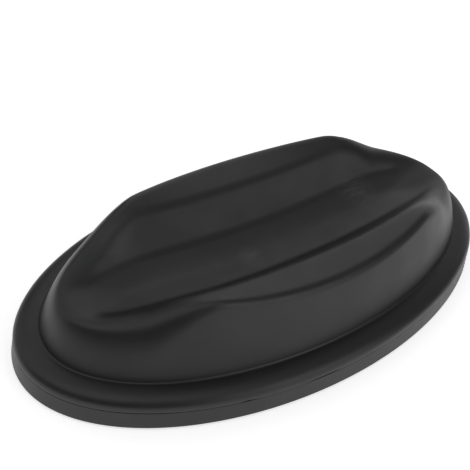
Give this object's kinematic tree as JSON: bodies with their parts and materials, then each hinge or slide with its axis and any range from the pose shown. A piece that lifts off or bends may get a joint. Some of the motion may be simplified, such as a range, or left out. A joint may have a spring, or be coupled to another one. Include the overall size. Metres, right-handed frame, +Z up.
{
  "type": "bike trainer front riser block",
  "caption": "Oval moulded block with a curved channel between two ridges that holds and lifts a bike's front wheel on a trainer.",
  "frame": {"origin": "on the ground under the middle of the block", "axes": "+X along the wheel channel, +Y across it, +Z up"},
  "size_m": [0.384, 0.206, 0.068],
  "materials": {
    "shell_plastic": "fine moulded grain, semi-matte",
    "pan_plastic": "fine moulded grain, semi-matte",
    "screw_steel": "zinc-plated",
    "foot_rubber": "matte"
  },
  "bodies": {
    "root": {"upper_shell": "shell_plastic", "base_pan": "pan_plastic", "base_screw_1": "screw_steel", "base_screw_2": "screw_steel", "base_screw_3": "screw_steel", "base_screw_4": "screw_steel", "base_screw_5": "screw_steel", "base_screw_6": "screw_steel", "base_screw_7": "screw_steel", "base_screw_8": "screw_steel", "base_screw_9": "screw_steel", "base_screw_10": "screw_steel", "rubber_foot_1": "foot_rubber", "rubber_foot_2": "foot_rubber", "rubber_foot_3": "foot_rubber", "rubber_foot_4": "foot_rubber", "rubber_foot_5": "foot_rubber", "rubber_foot_6": "foot_rubber", "rubber_foot_7": "foot_rubber", "rubber_foot_8": "foot_rubber"}
  },
  "joints": []
}
